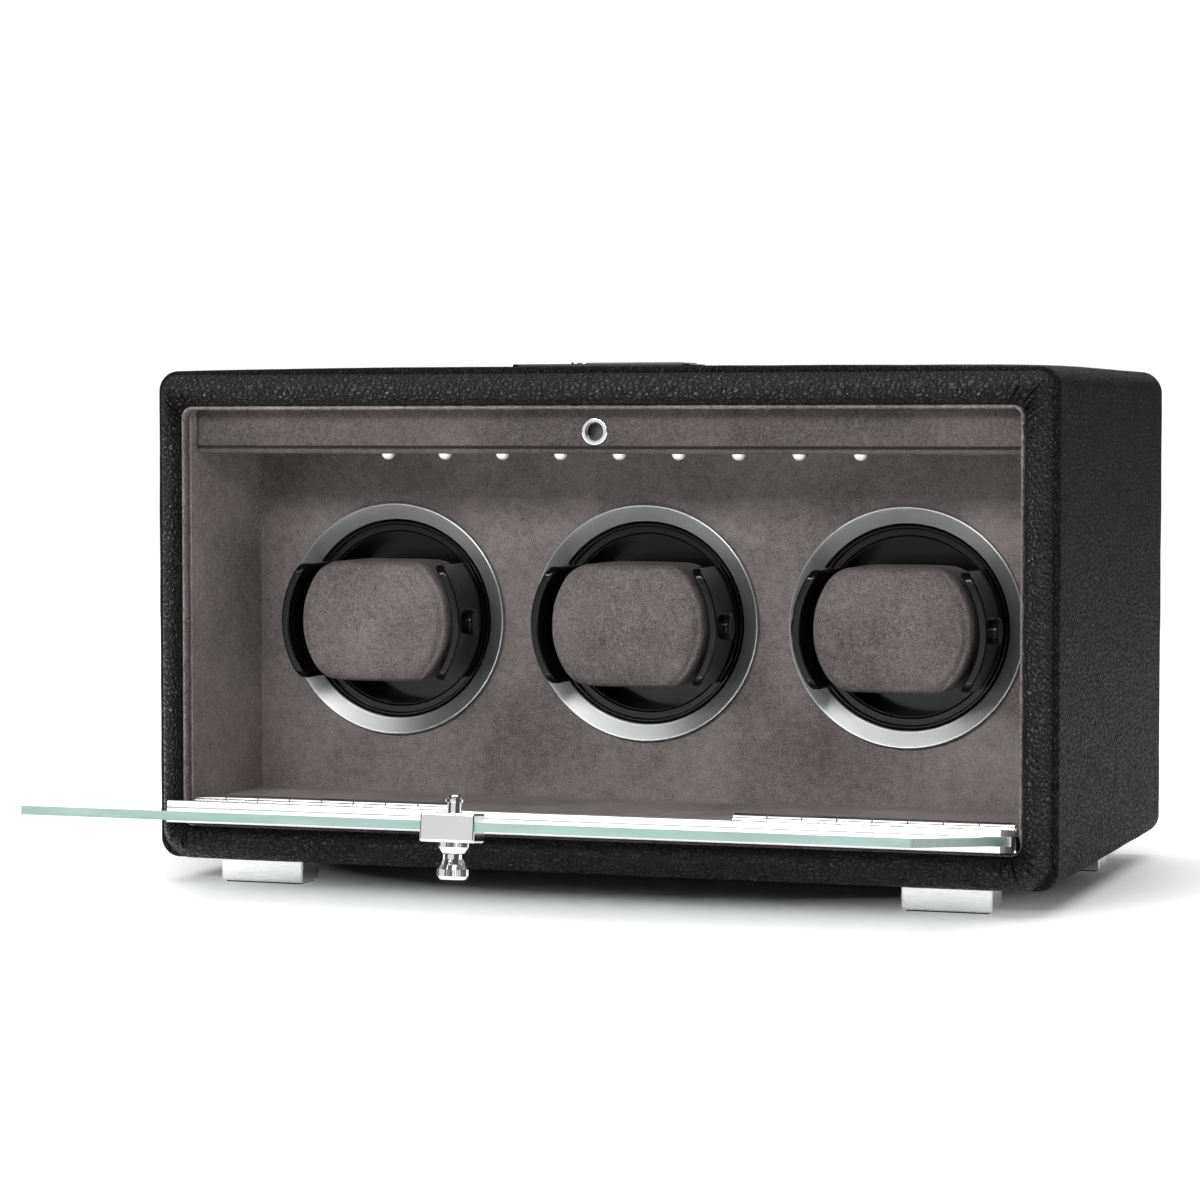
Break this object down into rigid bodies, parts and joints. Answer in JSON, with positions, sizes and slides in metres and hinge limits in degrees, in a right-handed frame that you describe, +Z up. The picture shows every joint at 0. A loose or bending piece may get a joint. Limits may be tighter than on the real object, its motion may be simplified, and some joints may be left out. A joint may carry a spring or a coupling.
{
  "type": "watch winder box",
  "caption": "Leather-covered watch winder box with a fold-down glass door, a lit suede-lined compartment and motor-driven watch cushions.",
  "frame": {"origin": "under the middle of the whole outline with the door open, on the plane that the feet stand on", "axes": "+X to the right seen from the front, +Y into the box from the door side, +Z up"},
  "size_m": [0.344, 0.3494, 0.195],
  "materials": {
    "black_leather": "pebbled, padded",
    "carcass_board": "raw fibreboard",
    "pad_foam": "foam",
    "taupe_suede": "napped suede",
    "cushion_suede": "napped suede",
    "rear_board": "fine texture",
    "steel": "zinc plated",
    "polished_aluminium": "polished",
    "satin_aluminium": "satin",
    "black_felt": "felt",
    "chrome": "mirror",
    "hinge_nickel": "bright nickel",
    "circuit_board": "solder mask",
    "lamp_lens": "clear lens",
    "gloss_black": "piano black",
    "display_lens": "smoked lens",
    "clear_glass": "polished float glass",
    "clear_seal": "clear silicone",
    "ring_metal": "dark satin",
    "black_plastic": "moulded",
    "white_nylon": "moulded",
    "bronze": "sintered",
    "motor_can": "plated can"
  },
  "bodies": {
    "case": {"case_shell": "carcass_board", "leather_wrap": "black_leather", "top_foam": "pad_foam", "front_bezel": "black_leather", "suede_trim": "taupe_suede", "side_linings": "taupe_suede", "floor_lining": "taupe_suede", "header_board": "taupe_suede", "soffit_board": "taupe_suede", "mounting_panel": "taupe_suede", "rear_cover": "rear_board", "rear_cover_screws": "steel", "feet": "polished_aluminium", "foot_pads": "black_felt", "foot_screws": "steel", "lock_socket": "chrome", "lock_spring": "steel", "led_board": "circuit_board", "leds": "lamp_lens", "control_panel": "gloss_black", "display_window": "display_lens", "control_board": "circuit_board", "dc_jack": "black_plastic", "case_hinge_leaves": "hinge_nickel", "hinge_pins": "steel", "case_hinge_screws": "hinge_nickel", "trim_rings": "ring_metal", "spindle_bushes": "bronze", "gear_plates": "steel", "housing_screws": "steel", "plate_screws": "steel", "housing_1": "black_plastic", "motor_1": "motor_can", "housing_2": "black_plastic", "motor_2": "motor_can", "housing_3": "black_plastic", "motor_3": "motor_can"},
    "door": {"door_glass": "clear_glass", "door_rail": "satin_aluminium", "rail_gasket": "clear_seal", "door_hinge_leaves": "hinge_nickel", "door_hinge_screws": "hinge_nickel", "latch_clamp": "chrome", "latch_collar": "chrome", "latch_stud": "chrome", "latch_spring": "steel"},
    "latch_pull": {"latch_knob": "chrome"},
    "mode_button": {"mode_button": "chrome"},
    "rotor_1": {"rotor_1": "gloss_black", "driven_gear_1": "white_nylon"},
    "pinion_1": {"pinion_1": "bronze"},
    "cushion_1": {"cushion_1": "cushion_suede"},
    "rotor_2": {"rotor_2": "gloss_black", "driven_gear_2": "white_nylon"},
    "pinion_2": {"pinion_2": "bronze"},
    "cushion_2": {"cushion_2": "cushion_suede"},
    "rotor_3": {"rotor_3": "gloss_black", "driven_gear_3": "white_nylon"},
    "pinion_3": {"pinion_3": "bronze"},
    "cushion_3": {"cushion_3": "cushion_suede"}
  },
  "joints": [
    {"name": "door_hinge", "type": "hinge", "parent": "case", "child": "door", "pos_m": [0, -0.0284, 0.0305], "axis": [1, 0, 0], "range_deg": [-84.1, 0]},
    {"name": "latch_pull", "type": "slide", "parent": "door", "child": "latch_pull", "axis": [0, -0.1028, -0.9947], "range_m": [0, 0.0015], "stiffness_N_per_m": 600, "springref_m": -0.002},
    {"name": "mode_button_press", "type": "slide", "parent": "case", "child": "mode_button", "axis": [0, 0, -1], "range_m": [0, 0.0006], "stiffness_N_per_m": 600, "springref_m": -0.001},
    {"name": "rotor_spin_1", "type": "hinge", "parent": "case", "child": "rotor_1", "pos_m": [-0.1016, 0.0375, 0.0971], "axis": [0, 1, 0], "continuous": true},
    {"name": "pinion_spin_1", "type": "hinge", "parent": "case", "child": "pinion_1", "pos_m": [-0.1016, 0.0775, 0.0671], "axis": [0, 1, 0], "continuous": true},
    {"name": "cushion_pull_1", "type": "slide", "parent": "rotor_1", "child": "cushion_1", "axis": [0, -1, 0], "range_m": [0, 0.06]},
    {"name": "rotor_spin_2", "type": "hinge", "parent": "case", "child": "rotor_2", "pos_m": [0, 0.0375, 0.0971], "axis": [0, 1, 0], "continuous": true},
    {"name": "pinion_spin_2", "type": "hinge", "parent": "case", "child": "pinion_2", "pos_m": [0, 0.0775, 0.0671], "axis": [0, 1, 0], "continuous": true},
    {"name": "cushion_pull_2", "type": "slide", "parent": "rotor_2", "child": "cushion_2", "axis": [0, -1, 0], "range_m": [0, 0.06]},
    {"name": "rotor_spin_3", "type": "hinge", "parent": "case", "child": "rotor_3", "pos_m": [0.1016, 0.0375, 0.0971], "axis": [0, 1, 0], "continuous": true},
    {"name": "pinion_spin_3", "type": "hinge", "parent": "case", "child": "pinion_3", "pos_m": [0.1016, 0.0775, 0.0671], "axis": [0, 1, 0], "continuous": true},
    {"name": "cushion_pull_3", "type": "slide", "parent": "rotor_3", "child": "cushion_3", "axis": [0, -1, 0], "range_m": [0, 0.06]}
  ],
  "couplings": [
    {"joint": "pinion_spin_1", "follows": "rotor_spin_1", "ratio": -4},
    {"joint": "pinion_spin_2", "follows": "rotor_spin_2", "ratio": -4},
    {"joint": "pinion_spin_3", "follows": "rotor_spin_3", "ratio": -4}
  ]
}
